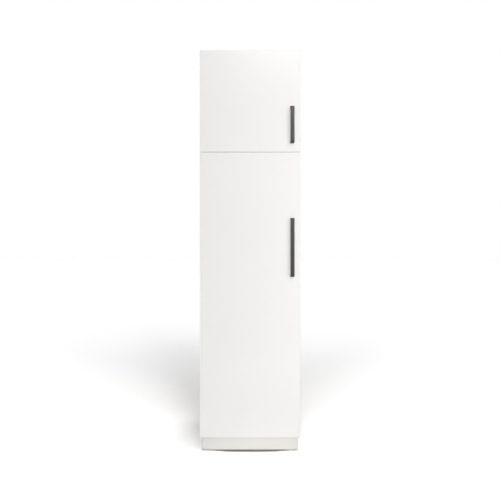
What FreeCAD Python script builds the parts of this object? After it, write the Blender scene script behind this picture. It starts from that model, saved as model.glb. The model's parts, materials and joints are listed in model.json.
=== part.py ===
"""Tall white broom cupboard: a board carcass on a recessed plinth, closed by two hinged doors.

Frame: millimetres, +Z up, the doors face -Y, the origin is on the floor
under the middle of the whole object.
"""
import FreeCAD
import Part
import os
from math import atan2, degrees, hypot

from FreeCAD import Vector

# Overall sizes
WIDTH = 500.0               # outside faces of the two side panels
HEIGHT = 2000.0             # floor to the top panel
CARCASS_DEPTH = 400.0       # front edge to rear edge of the side panels
BOARD = 18.0                # melamine-faced board of the carcass
BACK_BOARD = 3.0            # hardboard back

# Doors
DOOR_THICKNESS = 18.0
DOOR_STANDOFF = 2.0         # gap between the carcass front edge and the back of a door
DOOR_REVEAL = 1.0           # door edge to the outside face of a side panel
DOOR_END_REVEAL = 1.5       # door end to the top or the underside of the carcass
DOOR_SEAM = 2.0             # gap between the two doors
UPPER_DOOR_HEIGHT = 503.0
DOOR_EDGE_RADIUS = 1.0      # rounding of the edge band round the door face

# Plinth
PLINTH_HEIGHT = 71.0
PLINTH_SETBACK = 18.0       # behind the carcass front edge
PLINTH_INSET = 11.0         # inside the outer faces of the side panels
PLINTH_REAR_INSET = 20.0    # ahead of the carcass rear edge
BLOCK = 25.0                # section of the corner blocks
BLOCK_HEIGHT = 60.0
GLIDE_HEIGHT = 9.0
GLIDE_RADIUS = 8.0
GLIDE_CHAMFER = 1.0
GLIDE_FROM_BOARD = 10.0     # front or rear plinth board to a glide's centre

# Back board in its groove
GROOVE_DEPTH = 7.0
GROOVE_FROM_REAR = 12.0     # rear edge of the sides to the rear face of the groove
GROOVE_CLEARANCE = 0.2      # on each face of the back board, and at its edges
BACK_JOINT = 1.0            # gap between the two back boards, behind the fixed shelf

# Knock-down joints between the boards
DOWEL_RADIUS = 4.0
DOWEL_IN_SIDE = 12.0
DOWEL_IN_PANEL = 20.0
CAM_RADIUS = 7.4
CAM_HEIGHT = 12.5
CAM_SETBACK = 34.0          # panel end to the cam's centre
CAM_BOLT_RADIUS = 3.0
CAM_BOLT_HEAD_RADIUS = 3.4
CAM_BOLT_HEAD = 3.0
CAM_THREAD_RADIUS = 2.4
CAM_THREAD = 10.5
CAM_SLOT = 2.0              # screwdriver slot across the cam's face
JOINT_FROM_FRONT = 37.0     # first joint hole behind the front edge
JOINT_FROM_REAR = 60.0      # last joint hole ahead of the rear edge
SYSTEM_PITCH = 32.0         # pitch of the hole rows
HOLE_CLEARANCE = 0.1        # radial room of a plug in its bore
DEPTH_CLEARANCE = 0.5       # spare depth at the bottom of a blind bore

# Adjustable shelf
SHELF_END_CLEARANCE = 1.0
SHELF_FRONT_SETBACK = 15.0
SHELF_REAR_CLEARANCE = 4.0
PIN_RADIUS = 2.4
PIN_DEPTH = 9.0
PIN_TAB = 12.0              # square tab under the shelf
PIN_TAB_THICKNESS = 3.0
PIN_HOLE_STEPS = (-2, -1, 0, 1, 2)   # holes above and below the one in use

# Handles: flat bar bent to a bridge
UPPER_HANDLE_LENGTH = 181.0
LOWER_HANDLE_LENGTH = 290.0
HANDLE_WIDTH = 20.0
HANDLE_BAR = 8.0            # thickness of the bar and its legs
HANDLE_PROJECTION = 32.0    # door face to the front of the bar
HANDLE_BEND_RADIUS = 7.0    # middle line of the two bends
HANDLE_EDGE_RADIUS = 1.8
HANDLE_FROM_EDGE = 41.0     # free edge of the door to the middle of the bar
UPPER_HANDLE_RISE = 42.0    # lower edge of the upper door to the bar's lower end
LOWER_HANDLE_DROP = 326.5   # upper edge of the lower door to the bar's upper end
HANDLE_SCREW_RADIUS = 2.0
HANDLE_SCREW_BITE = 12.0    # thread inside the leg
HANDLE_SCREW_HEAD_RADIUS = 4.0
HANDLE_SCREW_HEAD = 2.2

# Door buffers
BUFFER_RADIUS = 4.0
BUFFER_CLEARANCE = 0.1
BUFFER_FROM_END = 30.0

# Cup hinges. Plan places are (in from the outside face of the side panel, back from its front edge)
HINGE_FROM_END = 100.0
UPPER_HINGE_COUNT = 2
LOWER_HINGE_COUNT = 3
LEVER_PIN_FROM_SIDE = 20.0  # inside face of the side panel to the pin in the arm's nose
LEVER_PIN_BACK = 6.2        # that pin behind the front edge
CUP_PIN_OFFSET = 9.8        # cup centre to its pin, towards the door edge
CUP_PIN_DEPTH = 5.3         # back of the door to that pin
LEVER_BEND_REACH = 5.5      # lever pin to the first bend of the lever, towards the door edge
LEVER_BEND_DROP = 5.1       # and towards the door
LEVER_HEEL_OFFSET = 1.4     # cup centre to the second bend, towards the door edge
LEVER_HEEL_DEPTH = 8.0      # back of the door to the second bend
LEVER_HALF_WIDTH = 2.2
LEVER_HALF_HEIGHT = 4.0
HINGE_PIN_RADIUS = 1.4
PIN_RUNNING_CLEARANCE = 0.05
CUP_RADIUS = 17.4
CUP_WALL = 1.1
CUP_FLOOR = 1.0
CUP_DEPTH = 12.3
CUP_FROM_EDGE = 3.6         # door edge to the cup bore
CUP_EAR = 2.5               # ears that hold the cup pin
CUP_EAR_RADIUS = 2.6
FLANGE_THICKNESS = 1.0
FLANGE_HALF_LENGTH = 31.0
FLANGE_WIDTH = 20.0
FLANGE_CORNER = 6.0
CUP_SCREW_PITCH = 48.0
CUP_SCREW_OFFSET = 6.0      # cup centre to the screw line
CUP_SCREW_RADIUS = 1.75
CUP_SCREW_LENGTH = 11.0
CUP_SCREW_HEAD_RADIUS = 3.2
CUP_SCREW_HEAD = 1.2
ARM_NOSE_RADIUS = 3.4
ARM_HALF_HEIGHT = 7.0
ARM_STEEL = 2.0             # top of the pressed channel
ARM_FOOT_GAP = 0.5          # channel cheeks to the plate wings
ARM_CHEEK_CLEARANCE = 0.3   # channel cheeks to the rail
ARM_REAR = 66.0             # rear end of the arm behind the front edge
ARM_BEND = 26.0             # where the arm leaves the plate and runs to its nose
PLATE_FROM_FRONT = 37.0     # screw line behind the front edge
PLATE_THICKNESS = 3.0
PLATE_HALF_LENGTH = 26.0
PLATE_HALF_WIDTH = 7.0
PLATE_CORNER = 4.0
RAIL_HEIGHT = 8.0           # rail under the arm, from the side panel
RAIL_HALF_HEIGHT = 5.0
RAIL_FRONT = 28.0           # front end of the rail behind the front edge
PLATE_SCREW_RADIUS = 2.4
PLATE_SCREW_LENGTH = 12.0
PLATE_SCREW_HEAD_RADIUS = 4.0
PLATE_SCREW_HEAD = 2.0
ARM_SCREW_RADIUS = 2.4
ARM_SCREW_HEAD_RADIUS = 3.4
ARM_SCREW_HEAD = 1.6
ARM_SCREW_ROWS = (37.0, 55.0)   # side adjusting screw and clamping screw behind the front edge

# Wall brackets under the top panel
BRACKET_SPACING = 300.0
BRACKET_LEG = 36.0
BRACKET_WIDTH = 24.0
BRACKET_STEEL = 2.0
BRACKET_CORNER = 5.0
BRACKET_SCREW_REACH = 22.0  # back board to the screw in the top panel
WALL_HOLE_RADIUS = 3.0
WALL_HOLE_DROP = 24.0       # top panel to the wall hole
BACK_HOLE_RADIUS = 4.0      # clear hole in the back board
BRACKET_SCREW_RADIUS = 2.0
BRACKET_SCREW_LENGTH = 12.0
BRACKET_SCREW_HEAD_RADIUS = 3.8
BRACKET_SCREW_HEAD = 2.0

# Places worked out from the sizes above
OVERALL_DEPTH = HANDLE_PROJECTION + DOOR_THICKNESS + DOOR_STANDOFF + CARCASS_DEPTH
REAR = OVERALL_DEPTH / 2
FRONT = REAR - CARCASS_DEPTH
DOOR_BACK = FRONT - DOOR_STANDOFF
DOOR_FACE = DOOR_BACK - DOOR_THICKNESS
OUTER = WIDTH / 2
INNER = OUTER - BOARD
BASE = GLIDE_HEIGHT + PLINTH_HEIGHT
PLINTH_OUTER = OUTER - PLINTH_INSET
PLINTH_FRONT = FRONT + PLINTH_SETBACK
PLINTH_REAR = REAR - PLINTH_REAR_INSET
CEILING = HEIGHT - BOARD
SEAM_HEIGHT = HEIGHT - DOOR_END_REVEAL - UPPER_DOOR_HEIGHT - DOOR_SEAM / 2
GROOVE_REAR = REAR - GROOVE_FROM_REAR
BACK_REAR = GROOVE_REAR - GROOVE_CLEARANCE
BACK_FRONT = BACK_REAR - BACK_BOARD
GROOVE_FRONT = BACK_FRONT - GROOVE_CLEARANCE
UPPER_DOOR_SPAN = (SEAM_HEIGHT + DOOR_SEAM / 2, HEIGHT - DOOR_END_REVEAL)
LOWER_DOOR_SPAN = (BASE + DOOR_END_REVEAL, SEAM_HEIGHT - DOOR_SEAM / 2)
DOOR_EDGE = OUTER - DOOR_REVEAL
HANDLE_X = DOOR_EDGE - HANDLE_FROM_EDGE
UPPER_HANDLE_LOW = UPPER_DOOR_SPAN[0] + UPPER_HANDLE_RISE
LOWER_HANDLE_LOW = LOWER_DOOR_SPAN[1] - LOWER_HANDLE_DROP - LOWER_HANDLE_LENGTH
CUP_U = DOOR_REVEAL + CUP_FROM_EDGE + CUP_RADIUS + HOLE_CLEARANCE
LEVER_PIN = (BOARD + LEVER_PIN_FROM_SIDE, LEVER_PIN_BACK)
LEVER_BEND = (LEVER_PIN[0] - LEVER_BEND_REACH, LEVER_PIN[1] - LEVER_BEND_DROP)
LEVER_HEEL = (CUP_U - LEVER_HEEL_OFFSET, -DOOR_STANDOFF - LEVER_HEEL_DEPTH)
CUP_PIN = (CUP_U - CUP_PIN_OFFSET, -DOOR_STANDOFF - CUP_PIN_DEPTH)
JOINT_ROWS = (FRONT + JOINT_FROM_FRONT, REAR - JOINT_FROM_REAR)
DOWEL_ROWS = (JOINT_ROWS[0] + SYSTEM_PITCH, JOINT_ROWS[1] - SYSTEM_PITCH)
PANEL_MIDDLES = (BASE + BOARD / 2, SEAM_HEIGHT, HEIGHT - BOARD / 2)
PIN_ROWS = DOWEL_ROWS
SHELF_UNDERSIDE = (PANEL_MIDDLES[1] + PANEL_MIDDLES[2] - BOARD) / 2

X, Y, Z = Vector(1, 0, 0), Vector(0, 1, 0), Vector(0, 0, 1)
PARALLEL = 1e-6             # sine under which two directions count as parallel


def block(x, y, z):
    """Box between pairs of limits along each axis."""
    size = (x[1] - x[0], y[1] - y[0], z[1] - z[0])
    return Part.makeBox(*size, Vector(x[0], y[0], z[0]))


def rod(radius, start, direction, length):
    """Round bar from a start point along a direction."""
    return Part.makeCylinder(radius, length, start, direction)


def fuse(shapes):
    """One solid from touching shapes, with the seams between them removed."""
    whole = shapes[0].multiFuse(shapes[1:]) if len(shapes) > 1 else shapes[0]
    return whole.removeSplitter()


def bore(shape, holes):
    """Cuts a list of tools out of a shape."""
    return shape.cut(holes) if holes else shape


def edges_along(shape, axis):
    """Straight edges that run parallel to an axis."""
    lines = [edge for edge in shape.Edges if isinstance(edge.Curve, Part.Line)]
    return [edge for edge in lines if edge.Curve.Direction.cross(axis).Length < PARALLEL]


def hinge_point(u, v, z):
    """Point from its plan place at the hinge side: in from the side panel, back from its front edge."""
    return Vector(u - OUTER, FRONT + v, z)


def hinge_heights(span, count):
    """Evenly spread hinge heights between the end hinges of a door."""
    low, high = span[0] + HINGE_FROM_END, span[1] - HINGE_FROM_END
    return [low + (high - low) * i / (count - 1) for i in range(count)]


UPPER_HINGES = hinge_heights(UPPER_DOOR_SPAN, UPPER_HINGE_COUNT)
LOWER_HINGES = hinge_heights(LOWER_DOOR_SPAN, LOWER_HINGE_COUNT)


def joint_bores_in_side(sign):
    """Blind bores for dowels and cam bolts in the inside face of a side panel."""
    out = X * sign
    holes = []
    for z in PANEL_MIDDLES:
        for y in DOWEL_ROWS:
            start = Vector(sign * INNER, y, z)
            holes.append(rod(DOWEL_RADIUS + HOLE_CLEARANCE, start, out, DOWEL_IN_SIDE + DEPTH_CLEARANCE))
        for y in JOINT_ROWS:
            start = Vector(sign * INNER, y, z)
            holes.append(rod(CAM_THREAD_RADIUS + HOLE_CLEARANCE, start, out, CAM_THREAD + DEPTH_CLEARANCE))
    return holes


def shelf_pin_bores(sign):
    """Short rows of holes that let the shelf go up or down."""
    middle = SHELF_UNDERSIDE - PIN_TAB_THICKNESS / 2
    return [
        rod(PIN_RADIUS + HOLE_CLEARANCE, Vector(sign * INNER, y, middle + step * SYSTEM_PITCH),
            X * sign, PIN_DEPTH + DEPTH_CLEARANCE)
        for y in PIN_ROWS
        for step in PIN_HOLE_STEPS
    ]


def plate_screw_places(z):
    """The two screw heights of a hinge plate."""
    return (z - SYSTEM_PITCH / 2, z + SYSTEM_PITCH / 2)


def side_panel(sign):
    """Side board with the groove for the back, joint bores, pin holes and, on the left, hinge holes."""
    panel = block(sorted((sign * INNER, sign * OUTER)), (FRONT, REAR), (BASE, HEIGHT))
    groove = block(sorted((sign * INNER, sign * (INNER + GROOVE_DEPTH))), (GROOVE_FRONT, GROOVE_REAR),
                   (BASE, HEIGHT))
    holes = [groove] + joint_bores_in_side(sign) + shelf_pin_bores(sign)
    if sign < 0:
        for z in UPPER_HINGES + LOWER_HINGES:
            for screw_z in plate_screw_places(z):
                start = hinge_point(BOARD, PLATE_FROM_FRONT, screw_z)
                holes.append(rod(PLATE_SCREW_RADIUS + HOLE_CLEARANCE, start, -X,
                                 PLATE_SCREW_LENGTH + DEPTH_CLEARANCE))
    return bore(panel, holes)


def cam_centre(sign, y, z, face):
    """Centre of a cam on the panel face it is let into. face is +1 for a top face, -1 for an underside."""
    return Vector(sign * (INNER - CAM_SETBACK), y, z + face * BOARD / 2)


def joint_bores_in_panel(z, face):
    """Dowel holes, bolt holes and cam pockets at both ends of a horizontal panel."""
    holes = []
    for sign in (-1, 1):
        inward = X * -sign
        for y in DOWEL_ROWS:
            holes.append(rod(DOWEL_RADIUS + HOLE_CLEARANCE, Vector(sign * INNER, y, z), inward,
                             DOWEL_IN_PANEL + DEPTH_CLEARANCE))
        for y in JOINT_ROWS:
            holes.append(rod(CAM_BOLT_HEAD_RADIUS + HOLE_CLEARANCE, Vector(sign * INNER, y, z), inward,
                             CAM_SETBACK))
            holes.append(rod(CAM_RADIUS + HOLE_CLEARANCE, cam_centre(sign, y, z, face), Z * -face,
                             CAM_HEIGHT + DEPTH_CLEARANCE))
    return holes


def top_panel():
    """Full-depth board between the sides, grooved below for the back."""
    panel = block((-INNER, INNER), (FRONT, REAR), (CEILING, HEIGHT))
    groove = block((-INNER, INNER), (GROOVE_FRONT, GROOVE_REAR), (CEILING, CEILING + GROOVE_DEPTH))
    return bore(panel, [groove] + bracket_bores() + joint_bores_in_panel(PANEL_MIDDLES[2], 1))


def inner_panel(middle):
    """Board between the sides that stops at the back board: the bottom and the fixed shelf."""
    panel = block((-INNER, INNER), (FRONT, BACK_FRONT), (middle - BOARD / 2, middle + BOARD / 2))
    return bore(panel, joint_bores_in_panel(middle, -1))


def back_board(low, high):
    """Hardboard sheet that slides in the grooves of the sides."""
    reach = INNER + GROOVE_DEPTH - GROOVE_CLEARANCE
    return block((-reach, reach), (BACK_FRONT, BACK_REAR), (low, high))


def upper_back():
    """Upper sheet, let into the top panel's groove, with clear holes for the wall screws."""
    sheet = back_board(SEAM_HEIGHT + BACK_JOINT / 2, CEILING + GROOVE_DEPTH - GROOVE_CLEARANCE)
    return bore(sheet, [rod(BACK_HOLE_RADIUS, wall_hole(sign), Y, OVERALL_DEPTH) for sign in (-1, 1)])


def cam_lock(sign, y, z, face):
    """Eccentric cam with a screwdriver slot, hollowed where it grips the bolt head."""
    centre = cam_centre(sign, y, z, face)
    cam = rod(CAM_RADIUS, centre, Z * -face, CAM_HEIGHT)
    mouth = rod(CAM_BOLT_HEAD_RADIUS + HOLE_CLEARANCE, Vector(sign * INNER, y, z), X * -sign,
                CAM_SETBACK + HOLE_CLEARANCE)
    half = CAM_SLOT / 2
    slot = Part.makeBox(CAM_RADIUS, CAM_SLOT, CAM_SLOT,
                        centre + Vector(-CAM_RADIUS / 2, -half, -half))
    return cam.cut([mouth, slot])


def cam_bolt(sign, y, z):
    """Bolt from its thread in the side panel to its head inside the cam."""
    root = Vector(sign * INNER, y, z)
    inward = X * -sign
    shank = CAM_SETBACK - CAM_BOLT_HEAD
    return fuse([
        rod(CAM_THREAD_RADIUS, root, X * sign, CAM_THREAD),
        rod(CAM_BOLT_RADIUS, root, inward, shank),
        rod(CAM_BOLT_HEAD_RADIUS, root + inward * shank, inward, CAM_BOLT_HEAD),
    ])


def panel_joints():
    """Every joint place: side, depth, panel middle and the face that the cams are let into."""
    faces = (-1, -1, 1)
    return [(sign, z, face) for z, face in zip(PANEL_MIDDLES, faces) for sign in (-1, 1)]


def cam_locks():
    return [cam_lock(sign, y, z, face) for sign, z, face in panel_joints() for y in JOINT_ROWS]


def cam_bolts():
    return [cam_bolt(sign, y, z) for sign, z, _ in panel_joints() for y in JOINT_ROWS]


def wood_dowels():
    """Glued dowels beside the cam bolts."""
    length = DOWEL_IN_SIDE + DOWEL_IN_PANEL
    return [
        rod(DOWEL_RADIUS, Vector(sign * (INNER + DOWEL_IN_SIDE), y, z), X * -sign, length)
        for sign, z, _ in panel_joints()
        for y in DOWEL_ROWS
    ]


def plinth_board(x, y):
    return block(x, y, (GLIDE_HEIGHT, BASE))


def corner_blocks():
    """Square blocks in the plinth corners that tie it to the bottom panel."""
    reach = PLINTH_OUTER - BOARD
    spans_x = ((-reach, BLOCK - reach), (reach - BLOCK, reach))
    front, rear = PLINTH_FRONT + BOARD, PLINTH_REAR - BOARD
    spans_y = ((front, front + BLOCK), (rear - BLOCK, rear))
    return [block(x, y, (BASE - BLOCK_HEIGHT, BASE)) for x in spans_x for y in spans_y]


def glides():
    """Round nail-on glides under the ends of the plinth's side boards."""
    def glide(x, y):
        disc = rod(GLIDE_RADIUS, Vector(x, y, 0), Z, GLIDE_HEIGHT)
        foot = [edge for edge in disc.Edges if edge.BoundBox.ZMax < GLIDE_CHAMFER]
        return disc.makeChamfer(GLIDE_CHAMFER, foot)

    reach = PLINTH_OUTER - BOARD / 2
    inset = BOARD + GLIDE_FROM_BOARD
    return [glide(x, y) for x in (-reach, reach) for y in (PLINTH_FRONT + inset, PLINTH_REAR - inset)]


def adjustable_shelf():
    reach = INNER - SHELF_END_CLEARANCE
    return block((-reach, reach), (FRONT + SHELF_FRONT_SETBACK, BACK_FRONT - SHELF_REAR_CLEARANCE),
                 (SHELF_UNDERSIDE, SHELF_UNDERSIDE + BOARD))


def shelf_pin(sign, y):
    """Plug in the side panel with a flat tab under the shelf."""
    middle = SHELF_UNDERSIDE - PIN_TAB_THICKNESS / 2
    root = Vector(sign * (INNER - PIN_TAB / 2), y, middle)
    plug = rod(PIN_RADIUS, root, X * sign, PIN_DEPTH + PIN_TAB / 2)
    above = block(sorted((sign * INNER, sign * (INNER - PIN_TAB))), (y - PIN_TAB, y + PIN_TAB),
                  (SHELF_UNDERSIDE, SHELF_UNDERSIDE + BOARD))
    tab = block(sorted((sign * INNER, sign * (INNER - PIN_TAB))), (y - PIN_TAB / 2, y + PIN_TAB / 2),
                (SHELF_UNDERSIDE - PIN_TAB_THICKNESS, SHELF_UNDERSIDE))
    return fuse([plug.cut(above), tab])


def bracket_screw_spot(sign):
    """Where the bracket's screw enters the top panel."""
    return Vector(sign * BRACKET_SPACING / 2, BACK_FRONT - BRACKET_SCREW_REACH, CEILING)


def wall_hole(sign):
    """Start of a wall hole, on the front face of a bracket."""
    return Vector(sign * BRACKET_SPACING / 2, BACK_FRONT - BRACKET_STEEL, CEILING - WALL_HOLE_DROP)


def bracket_bores():
    return [rod(BRACKET_SCREW_RADIUS + HOLE_CLEARANCE, bracket_screw_spot(sign), Z,
                BRACKET_SCREW_LENGTH + DEPTH_CLEARANCE) for sign in (-1, 1)]


def wall_bracket(sign):
    """Steel angle: one leg under the top panel, the other on the back board with the wall hole."""
    middle = sign * BRACKET_SPACING / 2
    x = (middle - BRACKET_WIDTH / 2, middle + BRACKET_WIDTH / 2)
    flat = block(x, (BACK_FRONT - BRACKET_LEG, BACK_FRONT), (CEILING - BRACKET_STEEL, CEILING))
    tips = [e for e in edges_along(flat, Z) if e.BoundBox.YMax < BACK_FRONT - BRACKET_STEEL]
    upright = block(x, (BACK_FRONT - BRACKET_STEEL, BACK_FRONT), (CEILING - BRACKET_LEG, CEILING))
    lower_tips = [e for e in edges_along(upright, Y) if e.BoundBox.ZMax < CEILING - BRACKET_STEEL]
    angle = fuse([flat.makeFillet(BRACKET_CORNER, tips), upright.makeFillet(BRACKET_CORNER, lower_tips)])
    hole = rod(WALL_HOLE_RADIUS, wall_hole(sign), Y, BRACKET_STEEL)
    screw = rod(BRACKET_SCREW_RADIUS + HOLE_CLEARANCE, bracket_screw_spot(sign) - Z * BRACKET_STEEL, Z,
                BRACKET_STEEL)
    return angle.cut([hole, screw])


def bracket_screw(sign):
    """Pan-head screw up into the top panel."""
    under = bracket_screw_spot(sign) - Z * BRACKET_STEEL
    return fuse([
        rod(BRACKET_SCREW_HEAD_RADIUS, under - Z * BRACKET_SCREW_HEAD, Z, BRACKET_SCREW_HEAD),
        rod(BRACKET_SCREW_RADIUS, under, Z, BRACKET_STEEL + BRACKET_SCREW_LENGTH),
    ])


def handle_screw_heights(low, length):
    """Middles of the two legs."""
    return (low + HANDLE_BAR / 2, low + length - HANDLE_BAR / 2)


def handle(low, length):
    """Flat bar bent to a bridge: a rounded section swept along a U-shaped path, bored for its screws."""
    bottom, top = handle_screw_heights(low, length)
    reach = DOOR_FACE - HANDLE_PROJECTION + HANDLE_BAR / 2
    corners = [Vector(HANDLE_X, y, z) for y, z in
               ((DOOR_FACE, bottom), (reach, bottom), (reach, top), (DOOR_FACE, top))]
    half_bar, half_width = HANDLE_BAR / 2, HANDLE_WIDTH / 2
    section = block((HANDLE_X - half_width, HANDLE_X + half_width), (DOOR_FACE - HANDLE_BAR, DOOR_FACE),
                    (bottom - half_bar, bottom + half_bar))
    section = section.makeFillet(HANDLE_EDGE_RADIUS, edges_along(section, Y))
    end_face = max(section.Faces, key=lambda face: face.CenterOfMass.y)
    path = Part.Wire(bent_path(corners, HANDLE_BEND_RADIUS))
    bridge = path.makePipeShell([end_face.OuterWire], True, False)
    threads = [
        rod(HANDLE_SCREW_RADIUS + HOLE_CLEARANCE, Vector(HANDLE_X, DOOR_FACE, z), -Y,
            HANDLE_SCREW_BITE + DEPTH_CLEARANCE)
        for z in (bottom, top)
    ]
    return bore(bridge, threads)


def bent_path(corners, radius):
    """Edges of a path through square corners, each corner replaced by a tangent arc."""
    edges = []
    start = corners[0]
    for before, corner, after in zip(corners, corners[1:], corners[2:]):
        arrive, leave = (corner - before).normalize(), (after - corner).normalize()
        arc_start, arc_end = corner - arrive * radius, corner + leave * radius
        middle = corner + (leave - arrive) * radius - (leave - arrive).normalize() * radius
        edges += [Part.makeLine(start, arc_start), Part.Arc(arc_start, middle, arc_end).toShape()]
        start = arc_end
    return edges + [Part.makeLine(start, corners[-1])]


def handle_screw(z):
    """Machine screw from inside the door into a handle leg."""
    head = Vector(HANDLE_X, DOOR_BACK, z)
    return fuse([
        rod(HANDLE_SCREW_HEAD_RADIUS, head, Y, HANDLE_SCREW_HEAD),
        rod(HANDLE_SCREW_RADIUS, head, -Y, DOOR_THICKNESS + HANDLE_SCREW_BITE),
    ])


def cup_screw_spots(z):
    """Screw places of a hinge cup on the back of the door."""
    u = CUP_U + CUP_SCREW_OFFSET
    return [hinge_point(u, -DOOR_STANDOFF, z + side * CUP_SCREW_PITCH / 2) for side in (-1, 1)]


def door(span, hinges, handle_low, handle_length):
    """Flat door with rounded face edges, cup bores, screw pilot holes and handle holes."""
    panel = block((-DOOR_EDGE, DOOR_EDGE), (DOOR_FACE, DOOR_BACK), span)
    face_edges = [edge for edge in panel.Edges if edge.BoundBox.YMax < DOOR_FACE + DOOR_EDGE_RADIUS]
    panel = panel.makeFillet(DOOR_EDGE_RADIUS, face_edges)
    holes = []
    for z in hinges:
        holes.append(rod(CUP_RADIUS + HOLE_CLEARANCE, hinge_point(CUP_U, -DOOR_STANDOFF, z), -Y,
                         CUP_DEPTH + DEPTH_CLEARANCE))
        for spot in cup_screw_spots(z):
            depth = CUP_SCREW_LENGTH + DEPTH_CLEARANCE
            holes.append(rod(CUP_SCREW_RADIUS + HOLE_CLEARANCE, spot, -Y, depth))
    for z in handle_screw_heights(handle_low, handle_length):
        holes.append(rod(HANDLE_SCREW_RADIUS + HOLE_CLEARANCE, Vector(HANDLE_X, DOOR_BACK, z), -Y,
                         DOOR_THICKNESS))
    return bore(panel, holes)


def door_buffers(span):
    """Soft dots between the free edge of a door and the side panel."""
    thickness = DOOR_STANDOFF - BUFFER_CLEARANCE
    return [
        rod(BUFFER_RADIUS, Vector(OUTER - BOARD / 2, DOOR_BACK, z), Y, thickness)
        for z in (span[0] + BUFFER_FROM_END, span[1] - BUFFER_FROM_END)
    ]


def hinge_cup(z):
    """Pressed cup with its screw flange and the two ears that hold the lever pin."""
    mouth = hinge_point(CUP_U, -DOOR_STANDOFF, z)
    bowl = rod(CUP_RADIUS, mouth, -Y, CUP_DEPTH)
    hollow = rod(CUP_RADIUS - CUP_WALL, mouth + Y * FLANGE_THICKNESS, -Y,
                 CUP_DEPTH - CUP_FLOOR + FLANGE_THICKNESS)
    middle = CUP_U + CUP_SCREW_OFFSET
    corner = hinge_point(middle - FLANGE_WIDTH / 2, -DOOR_STANDOFF, z - FLANGE_HALF_LENGTH)
    flange = Part.makeBox(FLANGE_WIDTH, FLANGE_THICKNESS, 2 * FLANGE_HALF_LENGTH, corner)
    flange = flange.makeFillet(FLANGE_CORNER, edges_along(flange, Y))
    cup = fuse([bowl, flange]).cut(hollow)
    u, v = CUP_PIN
    floor = CUP_FLOOR - DOOR_STANDOFF - CUP_DEPTH
    ears = []
    for side in (-1, 1):
        low = z + side * (LEVER_HALF_HEIGHT + DEPTH_CLEARANCE) + min(side, 0) * CUP_EAR
        eye = rod(CUP_EAR_RADIUS, hinge_point(u, v, low), Z, CUP_EAR)
        ear_corner = hinge_point(u - CUP_EAR_RADIUS, floor, low)
        stem = Part.makeBox(2 * CUP_EAR_RADIUS, v - floor, CUP_EAR, ear_corner)
        ears += [eye.common(bowl), stem.common(bowl)]
    cup = fuse([cup] + ears)
    pin_hole = hinge_pin_shape(CUP_PIN, z, HINGE_PIN_RADIUS + PIN_RUNNING_CLEARANCE)
    screws = [
        rod(CUP_SCREW_RADIUS + HOLE_CLEARANCE, spot, Y, FLANGE_THICKNESS) for spot in cup_screw_spots(z)
    ]
    return cup.cut([pin_hole] + screws)


def hinge_pin_shape(place, z, radius):
    """Round bar through a pivot, as long as the arm is high."""
    return rod(radius, hinge_point(*place, z - ARM_HALF_HEIGHT), Z, 2 * ARM_HALF_HEIGHT)


def hinge_pins(place, hinges):
    return [hinge_pin_shape(place, z, HINGE_PIN_RADIUS) for z in hinges]


def strip(start, end, half_width, low, high):
    """Straight flat link between two plan places, with rounded ends."""
    run = hypot(end[0] - start[0], end[1] - start[1])
    bar = Part.makeBox(run, 2 * half_width, high - low, Vector(0, -half_width, low))
    bar.rotate(Vector(), Z, degrees(atan2(end[1] - start[1], end[0] - start[0])))
    bar.translate(hinge_point(*start, 0))
    ends = [rod(half_width, hinge_point(*place, low), Z, high - low) for place in (start, end)]
    return [bar] + ends


def lever(z):
    """Cranked lever from the arm's nose into the cup, bored for both pins."""
    places = (LEVER_PIN, LEVER_BEND, LEVER_HEEL, CUP_PIN)
    pieces = []
    for start, end in zip(places, places[1:]):
        pieces += strip(start, end, LEVER_HALF_WIDTH, z - LEVER_HALF_HEIGHT, z + LEVER_HALF_HEIGHT)
    holes = [hinge_pin_shape(p, z, HINGE_PIN_RADIUS + PIN_RUNNING_CLEARANCE) for p in (LEVER_PIN, CUP_PIN)]
    return fuse(pieces).cut(holes)


def arm_profile(low, high, inset):
    """Plan outline of the arm, extruded. The inset draws its top face in, for the hollow of the channel."""
    foot = BOARD + PLATE_THICKNESS + ARM_FOOT_GAP
    top = BOARD + RAIL_HEIGHT + ARM_STEEL - inset
    nose = ARM_NOSE_RADIUS - inset
    outline = [(foot, ARM_REAR), (foot, ARM_BEND), (LEVER_PIN[0] - nose, LEVER_PIN[1]),
               (LEVER_PIN[0] + nose, LEVER_PIN[1]), (top, ARM_BEND + ARM_STEEL), (top, ARM_REAR)]
    points = [hinge_point(u, v, low) for u, v in outline]
    return Part.Face(Part.makePolygon(points + points[:1])).extrude(Z * (high - low))


def hinge_arm(z):
    """Pressed channel that caps the plate's rail and runs forward to a forked nose."""
    low, high = z - ARM_HALF_HEIGHT, z + ARM_HALF_HEIGHT
    nose = rod(ARM_NOSE_RADIUS, hinge_point(*LEVER_PIN, low), Z, high - low)
    arm = fuse([arm_profile(low, high, 0), nose])
    half_hollow = RAIL_HALF_HEIGHT + ARM_CHEEK_CLEARANCE
    hollow = arm_profile(z - half_hollow, z + half_hollow, ARM_STEEL)
    fork_back = LEVER_PIN[1] + LEVER_HALF_WIDTH + DEPTH_CLEARANCE
    fork_y = (FRONT - CARCASS_DEPTH, FRONT + fork_back)
    fork = block((-OUTER, OUTER), fork_y, (z - half_hollow, z + half_hollow))
    pin_hole = hinge_pin_shape(LEVER_PIN, z, HINGE_PIN_RADIUS + PIN_RUNNING_CLEARANCE)
    screws = [rod(ARM_SCREW_RADIUS + HOLE_CLEARANCE, spot, X, ARM_STEEL) for spot in arm_screw_spots(z)]
    return arm.cut([hollow, fork, pin_hole] + screws)


def arm_screw_spots(z):
    """Where the adjusting and clamping screws go through the arm into the rail."""
    return [hinge_point(BOARD + RAIL_HEIGHT, row, z) for row in ARM_SCREW_ROWS]


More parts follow.
